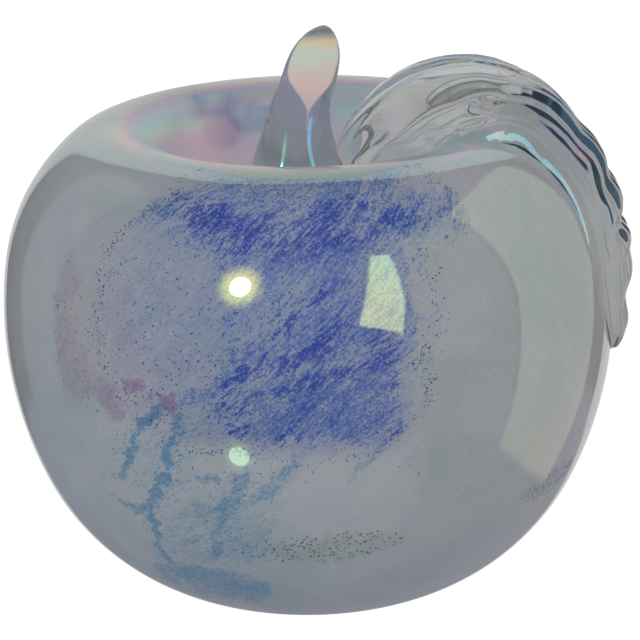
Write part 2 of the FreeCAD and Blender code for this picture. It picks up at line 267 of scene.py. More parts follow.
def makeCamera():
    data = bpy.data.cameras.new("camera")
    data.lens = cameraView["lens"]
    data.sensor_width = 36.0
    data.shift_x, data.shift_y = cameraView["shift"]
    data.clip_start = 0.01
    camera = bpy.data.objects.new("camera", data)
    scene.collection.objects.link(camera)
    rise = math.radians(cameraView["elevation"])
    target = Vector(cameraView["target"])
    place = target + Vector((0, -math.cos(rise), math.sin(rise))) * cameraView["distance"]
    look = (target - place).to_track_quat("-Z", "Y").to_matrix().to_4x4()
    roll = Matrix.Rotation(math.radians(cameraView["roll"]), 4, "Z")
    camera.matrix_world = Matrix.Translation(place) @ look @ roll
    scene.camera = camera


makeCamera()
print("camera placed")

# studio: soft panels round the object, as directions: degrees round from the camera (+ to the leaf) and up
studio = {
    "backdrop": (1.0, 1.0, 1.0),
    "dim": (0.145, 0.150, 0.160),    # the unlit room
    "table": (0.295, 0.302, 0.345),
    "tableEdge": (0.42, 0.37),       # how far down its edge is seen: all round, and more on the camera's side
    "tableSoft": (0.02, -0.02),
    "seenLow": (0.20, 0.205, 0.215),  # the room as it is seen through the clear glass, low down
    "seenHigh": (0.44, 0.45, 0.45),  # and high up
    "seenUp": (-0.5, 0.7),           # from where to where, as heights of the direction
    "seenShare": 0.78,
    "soft": 0.035,                   # how soft the panels' edges are
    "leftFall": (0.69, 0.75, 0.84),  # how the panels' light falls off to the left
    "leftFrom": (-0.25, -0.70),
    "lampEdge": (1.06, 0.94),        # a lamp's soft edge and where its glow is full, in the same shares
    "glowFull": 0.9,
    "panels": [
        # corners (round, up), colour, strength
        (((-130, 63), (150, 60), (142, 36), (148, -25), (-150, -25), (-148, 31)), (1.00, 1.00, 0.97), 0.74),
        (((38, -36), (84, -36), (82, 50), (39, 46)), (1.06, 0.98, 0.96), 0.28),
        (((84, -36), (134, -36), (136, 37), (82, 50)), (1.20, 0.95, 0.82), 0.66),
        (((-137, -40), (-107, -40), (-108, 50), (-137, 40)), (0.98, 0.94, 0.94), 0.46),
        (((17, 5), (35, -2), (38, 16), (40, 43), (29, 45)), (0.86, 1.00, 1.00), 2.05),
    ],
    # lamps: middle, half sizes round and up, and in shares of those how far the glow reaches
    "lamps": [
        {"round": -27.5, "up": 27.5, "halfRound": 3.7, "halfUp": 5.3, "glow": 2.7, "strength": 40.0,
         "glowColour": (2.60, 2.70, 1.50)},
        {"round": -30.0, "up": -37.0, "halfRound": 3.4, "halfUp": 3.0, "glow": 1.8, "strength": 2.4,
         "glowColour": (0.80, 0.86, 0.55)},
    ],
}


def wayTo(roundDegrees, upDegrees):
    turn, rise = math.radians(roundDegrees), math.radians(upDegrees)
    return Vector((math.sin(turn) * math.cos(rise), -math.cos(turn) * math.cos(rise), math.sin(rise)))


def panelMask(tree, way, corners):
    ways = [wayTo(*corner) for corner in corners]
    middle = sum(ways, Vector((0, 0, 0)))
    lowest = None
    for index, first in enumerate(ways):
        square = first.cross(ways[(index + 1) % len(ways)]).normalized()
        if square.dot(middle) < 0:
            square = -square
        inside = dot(tree, way, square)
        lowest = inside if lowest is None else maths(tree, "MINIMUM", lowest, inside)
    return ease(tree, lowest, 0.0, studio["soft"])


def makeStudio():
    world = bpy.data.worlds.new("studio")
    world.use_nodes = True
    tree = world.node_tree
    tree.nodes.clear()
    way = tree.nodes.new("ShaderNodeTexCoord").outputs["Generated"]
    across, along, up = split(tree, way)
    # the table's edge is seen lower on the camera's side
    level = maths(tree, "SQRT", minus(tree, 1.0, times(tree, up, up)))
    forward = maths(tree, "MAXIMUM", times(tree, along, -1.0), 0.0)
    edge = plus(tree, times(tree, level, studio["tableEdge"][0]),
                 times(tree, forward, studio["tableEdge"][1]))
    table = ease(tree, plus(tree, up, edge), *studio["tableSoft"])
    light = blendColour(tree, table, (*studio["dim"], 1), (*studio["table"], 1))
    for corners, colour, strength in studio["panels"]:
        lit = tuple(part * strength for part in colour)
        far = tuple(part * fall for part, fall in zip(lit, studio["leftFall"]))
        shade = blendColour(tree, ease(tree, across, *studio["leftFrom"]), (*lit, 1), (*far, 1))
        light = blendColour(tree, panelMask(tree, way, corners), light, shade)
    path = tree.nodes.new("ShaderNodeLightPath")
    seenLow, seenHigh = (*studio["seenLow"], 1), (*studio["seenHigh"], 1)
    behind = blendColour(tree, ease(tree, up, *studio["seenUp"]), seenLow, seenHigh)
    through = times(tree, path.outputs["Is Transmission Ray"], studio["seenShare"])
    light = blendColour(tree, through, light, behind)
    for lamp in studio["lamps"]:
        middle = wayTo(lamp["round"], lamp["up"])
        sideways = Vector((0, 0, 1)).cross(middle).normalized()
        upwards = middle.cross(sideways)
        halfRound, halfUp = (math.sin(math.radians(lamp[half])) for half in ("halfRound", "halfUp"))
        aside = maths(tree, "DIVIDE", dot(tree, way, sideways), halfRound)
        above = maths(tree, "DIVIDE", dot(tree, way, upwards), halfUp)
        far = distance(tree, aside, above)
        front = maths(tree, "GREATER_THAN", dot(tree, way, middle), 0.0)
        glow = times(tree, ease(tree, far, lamp["glow"], studio["glowFull"]), front)
        core = times(tree, ease(tree, far, *studio["lampEdge"]), front)
        light = blendColour(tree, glow, light, (*lamp["glowColour"], 1))
        light = blendColour(tree, core, light, (lamp["strength"],) * 3 + (1,))
    light = blendColour(tree, path.outputs["Is Camera Ray"], light, (*studio["backdrop"], 1))
    background = tree.nodes.new("ShaderNodeBackground")
    tree.links.new(light, background.inputs["Color"])
    output = tree.nodes.new("ShaderNodeOutputWorld")
    tree.links.new(background.outputs[0], output.inputs["Surface"])
    scene.world = world
    scene.view_settings.view_transform = "Standard"


makeStudio()
print("studio lit")

# floor
ground = {"half": 6.0, "drop": 0.00005, "colour": (0.92, 0.92, 0.92, 1), "roughness": 0.8, "lift": 0.74}


def makeFloor():
    half, drop = ground["half"], -ground["drop"]
    mesh = bpy.data.meshes.new("studio_floor")
    corners = [(-half, -half, drop), (half, -half, drop), (half, half, drop), (-half, half, drop)]
    mesh.from_pydata(corners, [], [(0, 1, 2, 3)])
    floor = bpy.data.objects.new("studio_floor", mesh)
    scene.collection.objects.link(floor)
    material, tree = newMaterial("pale floor")
    paint = matt(tree, ground["colour"], ground["roughness"])
    paint.inputs["Emission Color"].default_value = (1, 1, 1, 1)
    paint.inputs["Emission Strength"].default_value = ground["lift"]
    finishMaterial(tree, paint.outputs[0])
    mesh.materials.append(material)
    floor.visible_glossy = False      # the panels' own table tone is what the glass mirrors
    floor.visible_transmission = False
    floor.visible_diffuse = False


makeFloor()
print("floor laid")

# colour patches on the opal, shared by the painted stain and the loose grains:
# spots (degrees round, height mm, half width mm, half height mm, tilt degrees, strength)
# and strokes (places along it as (degrees, height), half width mm, strength)
patches = {
    "wash": {"spots": [
        (-3, 72, 23, 23, 20, 0.95), (2, 54, 17, 13, 15, 1.00), (0, 89, 29, 8, 0, 0.95),
        (23, 85, 12, 6, 10, 1.00), (-20, 66, 20, 22, 40, 0.75), (-18, 54, 13, 10, 45, 0.85),
        (-26, 80, 18, 12, 30, 0.70), (146, 68, 17, 18, 25, 0.95), (160, 50, 13, 16, 15, 0.90),
        (-138, 62, 12, 16, 30, 0.70), (-150, 88, 14, 6, 0, 0.60), (-156, -86, 11, 3.0, 0, 0.75),
        (-112, 88, 15, 4, 0, 0.35), (172, -86, 8, 2.4, 0, 0.45),
    ], "strokes": []},
    "cobalt": {"spots": [
        (7, 66, 14, 17, 30, 0.84), (-1, 55, 16, 10, 25, 0.95), (9, 54, 10, 10, 20, 0.85),
        (0, 84, 30, 8, 0, 0.95), (0, 89, 28, 4, 0, 0.70), (27, 85, 12, 5, 15, 0.72),
        (-4, 74, 14, 10, 35, 0.55), (-14, 58, 12, 8, 45, 0.80), (-27, 86, 10, 5, 10, 0.95),
        (13, 78, 12, 8, 20, 0.75), (-156, -86, 8, 2.0, 0, 0.70), (148, 66, 13, 13, 25, 0.95),
        (160, 50, 9, 12, 15, 0.90), (-138, 62, 9, 12, 30, 0.70), (-150, 89, 10, 3, 0, 0.60),
    ], "strokes": [([(-18, 82), (-10, 85)], 3.0, 0.7)]},
    "deep": {"spots": [
        (-5, 69, 5.5, 1.6, 45, 1.0), (-1, 72, 4.0, 1.5, 45, 0.9), (-10, 62, 6.0, 1.8, 42, 0.9),
        (-3, 63, 7.0, 2.4, 35, 1.0), (-1, 58, 6.0, 2.4, 35, 0.9), (-17, 56, 3.6, 1.6, 60, 1.0),
        (-13, 54, 4.6, 1.8, 45, 0.9), (-24, 60, 5.0, 1.4, 45, 0.7), (-24, 86, 9.0, 3.0, 10, 0.8),
        (2, 85, 30.0, 5.0, 0, 0.6), (-4, 47, 8.0, 2.2, 12, 0.9), (16, 49, 3.4, 0.9, 62, 1.0),
        (-21, 62, 4.0, 2.0, 60, 0.7), (13, 64, 5.0, 3.0, 40, 0.7), (18, 57, 2.6, 1.6, 20, 0.9),
        (4, 66, 6.0, 3.0, 40, 0.6), (9, 60, 8.0, 3.0, 35, 0.6), (-17, 82, 5.0, 2.0, 10, 0.6),
        (26, 85, 8.0, 2.4, 15, 0.6), (-15, 50, 2.0, 3.0, 10, 0.8), (148, 66, 9.0, 4.0, 40, 0.8),
        (160, 50, 7.0, 3.0, 40, 0.8),
    ], "strokes": []},
    "turquoise": {"spots": [
        (-42, 31, 5.5, 2.4, -6, 0.75), (-21, 40, 2.4, 2.0, 40, 0.6), (-23, 27, 15, 11, 20, 0.46),
        (-30, 15, 17, 8, 0, 0.78), (-43, 73, 2.2, 5, -25, 0.30), (-36, 84, 6, 2.0, 25, 0.35),
        (-33, 40, 11, 13, 30, 0.38), (34, 82, 5, 2, 20, 0.5),
    ], "strokes": [
        ([(-30, 53), (-35, 47), (-42, 38)], 1.5, 0.95),
        ([(-27, 51), (-26, 46), (-29, 39), (-33, 36), (-36, 31), (-37, 24), (-38, 18), (-37, 12)], 1.3, 0.85),
        ([(-12, 41), (-15, 36), (-19, 31), (-22, 27), (-23, 22)], 1.7, 0.75),
        ([(-3, 45), (-7, 39), (-12, 35)], 1.7, 0.70), ([(14, 46), (9, 40)], 1.0, 0.60),
        ([(-128, 60), (-134, 48), (-131, 36), (-138, 26)], 1.8, 0.85), ([(-146, 36), (-156, 40)], 1.8, 0.7),
        ([(165, 44), (158, 34), (160, 22)], 1.8, 0.8), ([(96, 32), (108, 28), (116, 32)], 1.6, 0.7),
    ]},
    "violet": {"spots": [
        (-36, 56, 3.0, 2.6, 20, 0.90), (-29, 53, 1.8, 3.4, 30, 0.95), (-43, 52, 3.4, 6, 10, 0.55),
        (-37, 66, 4, 7, 15, 0.30), (-52, 58, 5, 11, 10, 0.40), (21, 42, 3.4, 4.5, 0, 0.34),
        (9, 47, 8, 2.6, 5, 0.20), (-55, 70, 4, 8, 10, 0.30), (-95, 62, 8, 10, 20, 0.5),
        (128, 42, 7, 7, -15, 0.5), (-145, -85, 14, 3.5, 0, 0.55), (172, 66, 6, 6, 20, 0.45),
    ], "strokes": []},
    "green": {"spots": [
        (2, 25, 14.5, 3.8, 4, 0.85), (23, 63, 1.5, 2.2, 0, 0.3), (24, 58, 1.2, 1.8, 0, 0.3),
        (64, 30, 9, 3.4, 10, 0.7), (-165, 28, 11, 4, 0, 0.6),
    ], "strokes": []},
}
patchPole = (22.0, 50.0)     # place in the half outline from which heights are read as a turn
patchReach = (50.0, 42.0)    # millimetres to a radian, round and up


def poleTurn(out, up):
    return math.atan2(up - patchPole[1], out - patchPole[0])


opalRows = outline(body["wall"], 0.2, -90.0)
crestIndex = int(opalRows[:, 1].argmax())


def patchPlace(degrees, up):
    # place (mm round, mm up) on the flattened opal of a height on its outside,
    # or with a minus sign of a height inside the dimple
    sides = range(crestIndex + 1) if up > 0 else range(crestIndex, len(opalRows))
    row = min(sides, key=lambda k: abs(opalRows[k, 1] - abs(up)))
    turn = poleTurn(opalRows[row, 0], opalRows[row, 1])
    return math.radians(degrees) * patchReach[0], turn * patchReach[1]


strokeHalo = (2.7, 0.42)     # the stain round a stroke: how much wider, and how much of its strength


def flatRows(patch):
    # every spot and every stretch of a stroke on the flattened opal:
    # rows of (round, up, half width, half height, lean, strength)
    rows = []
    for degrees, height, halfWide, halfTall, tilt, strength in patch["spots"]:
        rows.append((*patchPlace(degrees, height), halfWide, halfTall, math.radians(tilt), strength))
    for places, half, strength in patch["strokes"]:
        flat = [patchPlace(*place) for place in places]
        for (side, rise), (nextSide, nextRise) in zip(flat, flat[1:]):
            length = math.hypot(nextSide - side, nextRise - rise)
            middle = ((side + nextSide) / 2, (rise + nextRise) / 2)
            lean = math.atan2(nextRise - rise, nextSide - side)
            halo, weaker = half * strokeHalo[0], strength * strokeHalo[1]
            rows.append((*middle, length / 2 + half, half, lean, strength))
            rows.append((*middle, length / 2 + halo, halo, lean, weaker))
    return rows


flatPatches = {name: flatRows(patch) for name, patch in patches.items()}
patchEdge = (1.6, 0.2)       # where a patch starts and is full, as squares of the distance in half sizes


def patchFrame(row):
    # numbers that turn (round, up) into distances across a patch in its half sizes
    side, rise, halfWide, halfTall, lean, strength = row
    turnCos, turnSin = math.cos(lean), math.sin(lean)
    wide = (turnCos / halfWide, turnSin / halfWide, -(side * turnCos + rise * turnSin) / halfWide)
    tall = (-turnSin / halfTall, turnCos / halfTall, (side * turnSin - rise * turnCos) / halfTall)
    return wide, tall, strength


def patchField(tree, side, rise, rows):
    # strongest of the patches at each point
    spots = None
    for row in rows:
        *frames, strength = patchFrame(row)
        wide, tall = (
            maths(tree, "MULTIPLY_ADD", side, first, maths(tree, "MULTIPLY_ADD", rise, second, third))
            for first, second, third in frames)
        far = maths(tree, "MULTIPLY_ADD", wide, wide, times(tree, tall, tall))
        spot = ease(tree, far, *patchEdge, 0.0, strength)
        spots = spot if spots is None else maths(tree, "MAXIMUM", spots, spot)
    return spots


def patchStrength(side, rise, rows):
    # the same patches, worked out for one place, for scattering grains
    best = 0.0
    for row in rows:
        *frames, strength = patchFrame(row)
        wide, tall = (first * side + second * rise + third for first, second, third in frames)
        share = (patchEdge[0] - wide * wide - tall * tall) / (patchEdge[0] - patchEdge[1])
        best = max(best, strength * smooth(share))
    return best


# opal bubble: milky ground with the melted colour worked into it
opal = {
    "ground": [(0.30, (0.495, 0.580, 0.621, 1)), (0.45, (0.562, 0.634, 0.680, 1)),
               (0.55, (0.621, 0.666, 0.724, 1)), (0.70, (0.661, 0.724, 0.747, 1))],
    "roughness": 0.6,
    "milk": (0.84, 0.86, 0.91, 1),
    "wash": (0.370, 0.480, 0.690, 1),
    "cobalt": (0.105, 0.225, 0.680, 1),
    "deep": (0.022, 0.078, 0.590, 1),
    "speckle": (0.660, 0.690, 0.830, 1),
    "lilac": (0.540, 0.500, 0.740, 1),
    "turquoise": (0.085, 0.300, 0.640, 1),
    "violet": (0.430, 0.270, 0.550, 1),
    "green": (0.290, 0.370, 0.400, 1),
    # stains: how much the broad streaks, the flecks and the dust break each up,
    # the levels where it starts and is full, and its full strength
    "stains": {"wash": (0.9, 1.0, 1.2, 0.25, 1.10, 0.92), "sparse": (0.6, 1.6, 2.4, 0.72, 1.08, 0.75),
               "cobalt": (2.4, 2.6, 0.9, 0.25, 1.55, 0.86), "deep": (2.6, 3.0, 1.0, 1.05, 1.90, 1.0),
               "turquoise": (1.0, 1.1, 1.1, 0.15, 1.05, 0.82),
               "violet": (1.0, 0.9, 0.9, 0.15, 1.05, 0.85), "green": (1.0, 2.0, 2.0, 0.15, 1.05, 0.30)},
    # specks: levels of the noise where they start and are full, and their full strength
    "milkSpecks": (0.50, 0.74, 0.40), "lilacSpecks": (0.48, 0.64, 0.32), "paleSpecks": (0.55, 0.70, 0.50),
    # painted rainbow sheen of the skin: rings inside the dimple, as shares of the way out from where they
    # start to where they end (m)
    "rings": [(0.10, (0.80, 0.74, 0.78, 1)), (0.32, (0.70, 0.76, 0.70, 1)), (0.50, (0.80, 0.70, 0.77, 1)),
              (0.66, (0.86, 0.64, 0.84, 1)), (0.78, (0.78, 0.62, 0.88, 1)), (0.86, (0.50, 0.86, 0.74, 1)),
              (0.92, (0.58, 0.68, 0.93, 1)), (0.98, (0.86, 0.70, 0.84, 1))],
    "sheenRingsFrom": 0.012, "sheenRingsTo": 0.0368, "sheenRingsShare": 0.80,
    "sheenRingsFade": (0.0378, 0.0355), "sheenRingsUp": (0.068, 0.076),      # m from the axis and up where they set in
    "ringsWander": 0.0040,                                         # m that they wander in and out
    # strengths of the patches from which their stains are let in fully
    "full": {"wash": 0.5, "cobalt": 0.4, "turquoise": 0.35, "violet": 0.35, "green": 0.35},
    "deepShare": 0.75,       # how much the deep patches add to the cobalt ones
    # noises: scale to a metre, detail, roughness and distortion
    "clouds": {"ground": (38.0, 5.0, 0.62, 0.4), "rings": (60.0, 2.0), "lilac": (150.0, 3.0, 0.6),
               "dust": (2200.0, 2.0, 0.6), "pale": (2300.0, 2.0)},
    "lean": 47.0,            # degrees that the streaks climb towards the leaf
    "broad": (0.30, 0.26, 3.0, 0.6),      # streaks: stretch, scale to a mm, detail, roughness
    "fleck": (0.24, 1.7, 4.0, 0.62),
    # how streaks are bent and patches pulled about: scale to a metre, detail, roughness, mm
    "bend": (26.0, 2.0, 0.5, 12.0),
    "ragged": [(95.0, 3.0, 0.6, 10.0), (520.0, 3.0, 0.6, 5.0)],
}


def makeOpal():
    material, tree = newMaterial("opal with melted colour")
    place = tree.nodes.new("ShaderNodeTexCoord").outputs["Object"]
    milky = spread(tree, cloud(tree, place, *opal["clouds"]["ground"]), opal["ground"])
    # flattened coordinates in millimetres, round and up
    across, along, up = split(tree, place)
    out = distance(tree, across, along)
    side = times(tree, maths(tree, "ARCTAN2", across, times(tree, along, -1.0)), patchReach[0])
    rise = maths(tree, "ARCTAN2", minus(tree, up, patchPole[1] * mm), minus(tree, out, patchPole[0] * mm))
    flat = join(tree, side, times(tree, rise, patchReach[1]), 0.0)
    pulled = flat
    for push in opal["ragged"]:
        pulled = vectors(tree, "ADD", pulled, pull(tree, place, *push))
    # streaks run up towards the leaf
    lean = tree.nodes.new("ShaderNodeMapping")
    lean.vector_type = "TEXTURE"
    lean.inputs["Rotation"].default_value = (0.0, 0.0, math.radians(opal["lean"]))
    sock(tree, lean.inputs["Vector"], vectors(tree, "ADD", flat, pull(tree, place, *opal["bend"])))
    noises = []
    for stretch, scale, detail, rough in (opal["broad"], opal["fleck"]):
        drawn = vectors(tree, "MULTIPLY", lean.outputs[0], (stretch, 1.0, 1.0))
        noises.append(cloud(tree, drawn, scale, detail, rough))
    dust = cloud(tree, place, *opal["clouds"]["dust"])
    noises.append(dust)
    sidePulled, risePulled, _ = split(tree, pulled)
    fields = {name: patchField(tree, sidePulled, risePulled, rows) for name, rows in flatPatches.items()}

    def within(name):
        return ease(tree, fields[name], 0.0, opal["full"][name])

    def specks(under, noise, name, paint, inside):
        start, full, most = opal[name]
        share = times(tree, ease(tree, noise, start, full, 0.0, most), inside)
        return blendColour(tree, share, under, opal[paint])

    def stain(under, level, name, paint, inside):
        *shares, start, full, most = opal["stains"][name]
        for noise, share in zip(noises, shares):
            level = plus(tree, level, swing(tree, noise, share))
        share = times(tree, ease(tree, level, start, full, 0.0, most), inside)
        return blendColour(tree, share, under, opal[paint])

    colour = specks(milky, dust, "milkSpecks", "milk", 1.0)
    # painted rainbow sheen: the skin's ring colours are laid into the opal's colour inside the dimple
    ringSheen = ease(tree, out, *opal["sheenRingsFade"], 0.0, opal["sheenRingsShare"])
    ringSheen = times(tree, ringSheen, ease(tree, up, *opal["sheenRingsUp"]))
    wander = swing(tree, cloud(tree, place, *opal["clouds"]["rings"]), opal["ringsWander"])
    sheenRingAt = minus(tree, plus(tree, out, wander), opal["sheenRingsFrom"])
    sheenRingAt = maths(tree, "DIVIDE", sheenRingAt, opal["sheenRingsTo"] - opal["sheenRingsFrom"])
    colour = blendColour(tree, ringSheen, colour, spread(tree, sheenRingAt, opal["rings"]))
    inside = within("wash")
    colour = stain(colour, fields["wash"], "wash", "wash", inside)
    lilac = cloud(tree, place, *opal["clouds"]["lilac"])
    colour = specks(colour, lilac, "lilacSpecks", "lilac", inside)
    spots = times(tree, plus(tree, fields["wash"], fields["cobalt"]), 0.5)
    colour = stain(colour, spots, "sparse", "cobalt", inside)
    inside = within("cobalt")
    colour = stain(colour, fields["cobalt"], "cobalt", "cobalt", inside)
    thick = plus(tree, fields["cobalt"], times(tree, fields["deep"], opal["deepShare"]))
    colour = stain(colour, thick, "deep", "deep", inside)
    pale = cloud(tree, place, *opal["clouds"]["pale"])
    colour = specks(colour, pale, "paleSpecks", "speckle", inside)
    for name in ("turquoise", "violet", "green"):
        colour = stain(colour, fields[name], name, name, within(name))
    finishMaterial(tree, matt(tree, colour, opal["roughness"]).outputs[0])
    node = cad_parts["opal_bubble"]
    node.data.materials.clear()
    node.data.materials.append(material)


makeOpal()
print("opal coloured")

# loose grains of each colour, melted flat on the opal: half widths in mm,
# and the share of them (edge) that keeps to where a patch thins out
grains = {
    "cobalt_chips": {
        "patch": "wash", "slot": "cobalt_glass", "count": 5200, "size": (0.06, 0.17), "edge": 0.88,
        "colours": [(0.060, 0.120, 0.400, 1), (0.110, 0.210, 0.560, 1), (0.080, 0.230, 0.430, 1)]},
    "turquoise_trails": {
        "patch": "turquoise", "slot": "turquoise_glass", "count": 1500, "size": (0.06, 0.15), "edge": 0.1,
        "colours": [(0.055, 0.210, 0.480, 1), (0.065, 0.300, 0.560, 1), (0.080, 0.370, 0.540, 1)]},
    "violet_chips": {
        "patch": "violet", "slot": "violet_glass", "count": 320, "size": (0.07, 0.17), "edge": 0.3,
        "colours": [(0.260, 0.130, 0.360, 1), (0.400, 0.190, 0.450, 1), (0.140, 0.110, 0.380, 1)]},
    "green_chips": {
        "patch": "green", "slot": "green_glass", "count": 520, "size": (0.10, 0.22), "edge": 0.2,
        "colours": [(0.080, 0.140, 0.150, 1), (0.150, 0.220, 0.210, 1), (0.080, 0.120, 0.190, 1)]},
}
grainForm = {
    "corners": 5, "uneven": (0.8, 0.4),   # least share of the half width at a corner, and what chance adds
    "longer": 0.8,           # how much longer than wide a grain may be, as a share
    "up": 0.08, "above": 0.12, "below": 0.10,   # mm: its middle over the opal, most above and depth below it
    "turns": (-62, 100),     # degrees about the pole between which grains lie
    "reach": 1.25, "stray": 0.5,          # how far from a patch's middle, in half sizes, and mm astray
    "rimAt": 0.22, "rimHalf": 0.20,       # strength of a patch where it thins out, and to either side
    "tries": 60,             # tries for each grain
    "dome": 0.5,             # height as a share of the half width
    "roughness": 0.45,
    "pale": (1.6, 0.03),     # lighter tint: times and plus, mixed in by noise (scale to a metre, detail)
    "cloud": (700.0, 2.0), "cloudFade": (0.35, 0.7),
}
opalTurns = np.array([poleTurn(row[0], row[1]) for row in opalRows])


def addPiece(mesh, marks, node):
    # a smooth piece on the frame: each face has the material that its mark says
    mesh.polygons.foreach_set("material_index", marks)
    mesh.polygons.foreach_set("use_smooth", [True] * len(mesh.polygons))
    piece = bpy.data.objects.new(mesh.name, mesh)
    scene.collection.objects.link(piece)
    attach(piece, "root")
    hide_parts(node)
    return piece


def opalPlace(degrees, turn, rise):
    # point on the opal (mm) at a turn about the pole, with the way out there
    row = opalRows[int(np.abs(opalTurns - turn).argmin())]
    lean = math.radians(degrees)
    way = Vector((math.sin(lean) * row[2], -math.cos(lean) * row[2], row[3]))
    return Vector((math.sin(lean) * row[0], -math.cos(lean) * row[0], row[1])) + way * rise, way


def makeGrains(node, values, seed):
    chance = np.random.default_rng(seed)
    rows = flatPatches[values["patch"]]
    areas = np.array([row[2] * row[3] for row in rows])
    areas = areas / areas.sum()
    lowest, highest = (math.radians(turn) for turn in grainForm["turns"])
    least, more = grainForm["uneven"]
    corners, stray = grainForm["corners"], grainForm["stray"]
    points, faces, tones = [], [], []
    made = 0
    for attempt in range(values["count"] * grainForm["tries"]):
        if made >= values["count"]:
            break
        middleSide, middleRise, halfWide, halfTall, lean, _ = rows[int(chance.choice(len(rows), p=areas))]
        wide, tall, keep, spin, size, tone, long = chance.random(7)
        wide = (wide * 2 - 1) * grainForm["reach"] * halfWide
        tall = (tall * 2 - 1) * grainForm["reach"] * halfTall
        side = middleSide + wide * math.cos(lean) - tall * math.sin(lean) + chance.normal() * stray
        rise = middleRise + wide * math.sin(lean) + tall * math.cos(lean) + chance.normal() * stray
        turn = rise / patchReach[1]
        if not lowest < turn < highest:
            continue
        share = patchStrength(side, rise, rows)
        rim = max(1 - abs(share - grainForm["rimAt"]) / grainForm["rimHalf"], 0)
        if keep > values["edge"] * rim + (1 - values["edge"]) * share:
            continue
        middle, way = opalPlace(math.degrees(side / patchReach[0]), turn, grainForm["up"])
        reach = values["size"][0] + (values["size"][1] - values["size"][0]) * size * size
        level = way.orthogonal().normalized()
        level.rotate(Matrix.Rotation(spin * math.tau, 3, way))
        other = way.cross(level)
        start = len(points)
        for k in range(corners):
            angle = math.tau * k / corners
            wobble = least + more * chance.random()
            aside = level * math.cos(angle) * (1 + grainForm["longer"] * long) + other * math.sin(angle)
            points.append(middle + aside * reach * wobble)
        points.append(middle + way * min(reach * grainForm["dome"], grainForm["above"]))
        points.append(middle - way * grainForm["below"])
        for k in range(corners):
            after = (k + 1) % corners
            faces.append((start + k, start + after, start + corners))
            faces.append((start + after, start + k, start + corners + 1))
            tones.extend([min(int(tone * 3), 2)] * 2)
        made += 1
    mesh = bpy.data.meshes.new(node + "_grains")
    mesh.from_pydata([tuple(point * mm) for point in points], [], faces)
    lighter, added = grainForm["pale"]
    for index, colour in enumerate(values["colours"]):
        material, tree = newMaterial("%s glass grain %d" % (values["patch"], index + 1))
        place = tree.nodes.new("ShaderNodeTexCoord").outputs["Object"]
        pale = tuple(min(part * lighter + added, 1.0) for part in colour[:3]) + (1,)
        share = ease(tree, cloud(tree, place, *grainForm["cloud"]), *grainForm["cloudFade"])
        tint = blendColour(tree, share, colour, pale)
        finishMaterial(tree, matt(tree, tint, grainForm["roughness"]).outputs[0])
        mesh.materials.append(material)
    addPiece(mesh, tones, node)
    print(node, "grains:", made)


for seed, (node, values) in enumerate(grains.items(), start=11):
    makeGrains(node, values, seed)

# glass: clear, with a thin metallic skin that gives the rainbow colours; lamps shine straight through it
film = {
    "glassIndex": 1.5,
    "casingTint": (1.0, 1.0, 1.0, 1),
    "trimTint": (0.955, 0.965, 0.965, 1), "stemTint": (0.600, 0.680, 0.790, 1),
    # noises: scale to a metre, detail, roughness and distortion
    "bodyCloud": (22.0, 3.0, 0.5, 0.5), "trimCloud": (120.0, 3.0, 0.5, 0.5),
    # thickness of the skin in nanometres: on the body, and how much more inwards of the rim (m from the axis)
    "bodyIndex": 2.0, "bodyBase": 208.0, "bodyDrift": 70.0,
    "dimpleMore": 190.0, "dimpleFade": (0.0412, 0.0268),
    "dimpleHaze": 0.32, "hazeFade": (0.0400, 0.0335),     # and a satin one inside the dimple
    "dimpleUp": (0.072, 0.086),                           # heights between which these set in, m
    "trimIndex": 1.95, "trimBase": 175.0, "trimDrift": 260.0,   # on the stem and the leaf
    "drawn": (0.35, 1.0, 0.35),                           # stretch of its streaks along the leaf
    "haze": (0.80, 0.84, 0.86, 1), "hazeShare": 0.09,
}


def filmOnBody(tree, place):
    # thickness of the skin, and its haze, by the distance from the axis and by the height
    across, along, up = split(tree, place)
    out = distance(tree, across, along)
    drift = swing(tree, cloud(tree, place, *film["bodyCloud"]), film["bodyDrift"])
    high = ease(tree, up, *film["dimpleUp"])
    inside = times(tree, ease(tree, out, *film["dimpleFade"], 0.0, film["dimpleMore"]), high)
    haze = times(tree, ease(tree, out, *film["hazeFade"], 0.0, film["dimpleHaze"]), high)
    return plus(tree, plus(tree, film["bodyBase"], inside), drift), haze


def filmOnTrim(tree, place):
    drawn = vectors(tree, "MULTIPLY", place, film["drawn"])
    drift = swing(tree, cloud(tree, drawn, *film["trimCloud"]), film["trimDrift"])
    return plus(tree, film["trimBase"], drift), 0.0


def hazyGlass(tree, place, glass):
    # hot-worked glass keeps a faint milky haze from its metallic skin
    return mixShaders(tree, film["hazeShare"], glass, bothSides(tree, film["haze"]))


